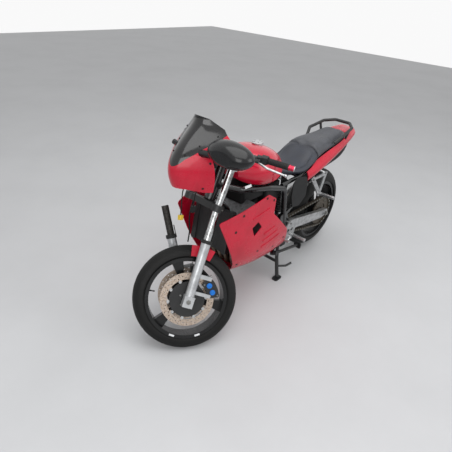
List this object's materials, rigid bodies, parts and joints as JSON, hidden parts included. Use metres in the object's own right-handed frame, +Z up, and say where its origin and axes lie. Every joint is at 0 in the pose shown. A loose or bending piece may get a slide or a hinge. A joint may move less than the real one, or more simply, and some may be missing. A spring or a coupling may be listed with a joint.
{
  "type": "motorcycle",
  "caption": "Faired road motorcycle with a crash-damaged front end, one fork leg torn out of the yokes, standing on its centre stand.",
  "frame": {"origin": "on the floor under the middle of the whole machine", "axes": "+X forward to the front wheel, +Y to the rider's left, +Z up"},
  "size_m": [2.0362, 0.7684, 1.2568],
  "materials": {
    "black_frame": "gloss",
    "cast_aluminium": "satin",
    "exhaust_steel": "satin",
    "black_metal": "satin",
    "black_plastic": "matte",
    "red_paint": "gloss",
    "cap_metal": "satin",
    "seat_black": "satin",
    "seat_grey": "satin",
    "red_plastic": "gloss",
    "lamp_red": "gloss",
    "silver_metal": "satin",
    "black_wheel": "gloss",
    "tyre_rubber": "matte",
    "disc_steel": "satin",
    "chain_steel": "satin",
    "bare_aluminium": "satin",
    "smoked_screen": "gloss",
    "black_gloss": "gloss",
    "chrome_tube": "gloss",
    "axle_steel": "satin",
    "hose_rubber": "matte",
    "plug_yellow": "satin"
  },
  "bodies": {
    "chassis": {"airbox": "black_plastic", "belly_pan": "red_plastic", "black_plug": "black_plastic", "chain": "chain_steel", "cylinder_block": "cast_aluminium", "engine_crankcase": "cast_aluminium", "exhaust": "exhaust_steel", "fairing_left": "red_plastic", "fairing_right": "red_plastic", "footrest_left": "bare_aluminium", "footrest_right": "bare_aluminium", "frame": "black_frame", "fuel_tank": "red_paint", "grab_rail": "black_metal", "instruments": "black_plastic", "loom_cable": "hose_rubber", "mirror_left": "black_gloss", "mirror_right": "black_gloss", "peg_bracket_left": "bare_aluminium", "peg_bracket_right": "bare_aluminium", "plug_cable": "hose_rubber", "radiator": "black_metal", "rear_caliper": "black_metal", "rear_mudguard": "black_plastic", "screen": "smoked_screen", "seat_pillion": "seat_grey", "seat_rider": "seat_black", "shock": "black_metal", "side_panel_left": "black_plastic", "side_panel_right": "black_plastic", "swingarm": "silver_metal", "tail_cowl": "red_plastic", "tail_lamp": "lamp_red", "upper_fairing": "red_plastic", "yellow_plug": "plug_yellow"},
    "steering": {"lower_yoke": "black_metal", "upper_yoke": "silver_metal", "handlebar": "black_metal", "controls_left": "black_plastic", "controls_right": "black_plastic", "stanchion_left": "chrome_tube", "stanchion_right": "chrome_tube", "slider_left": "silver_metal", "slider_right": "silver_metal", "front_axle": "axle_steel", "caliper_left": "black_metal", "caliper_right": "black_metal", "mudguard_remnant": "red_plastic", "brake_hose": "hose_rubber"},
    "front_wheel": {"front_rim": "black_wheel", "front_tyre": "tyre_rubber", "front_disc_left": "disc_steel", "front_disc_right": "disc_steel"},
    "rear_wheel": {"rear_rim": "black_wheel", "rear_tyre": "tyre_rubber", "rear_disc": "disc_steel", "rear_sprocket": "disc_steel"},
    "centre_stand": {"centre_stand": "black_metal"},
    "side_stand": {"side_stand": "black_metal"},
    "filler_cap": {"filler_cap": "cap_metal"}
  },
  "joints": [
    {"name": "steering_turn", "type": "hinge", "parent": "chassis", "child": "steering", "pos_m": [0.51872, 0, 0.7513], "axis": [-0.4067, 0, 0.9135], "range_deg": [0, 33]},
    {"name": "front_wheel_spin", "type": "hinge", "parent": "steering", "child": "front_wheel", "pos_m": [0.76022, 0.08932, 0.2715], "axis": [0.522, 0.7455, 0.4145], "continuous": true},
    {"name": "rear_wheel_spin", "type": "hinge", "parent": "chassis", "child": "rear_wheel", "pos_m": [-0.64978, 0, 0.33], "axis": [0, 1, 0], "continuous": true},
    {"name": "centre_stand_fold", "type": "hinge", "parent": "chassis", "child": "centre_stand", "pos_m": [-0.10978, 0, 0.286], "axis": [0, 1, 0], "range_deg": [0, 80]},
    {"name": "side_stand_fold", "type": "hinge", "parent": "chassis", "child": "side_stand", "pos_m": [-0.00978, 0.14, 0.246], "axis": [0.237, -0.948, -0.2124], "range_deg": [0, 95]},
    {"name": "filler_cap_lift", "type": "hinge", "parent": "chassis", "child": "filler_cap", "pos_m": [0.15822, 0, 1.017], "axis": [0, 1, 0], "range_deg": [0, 90]}
  ]
}
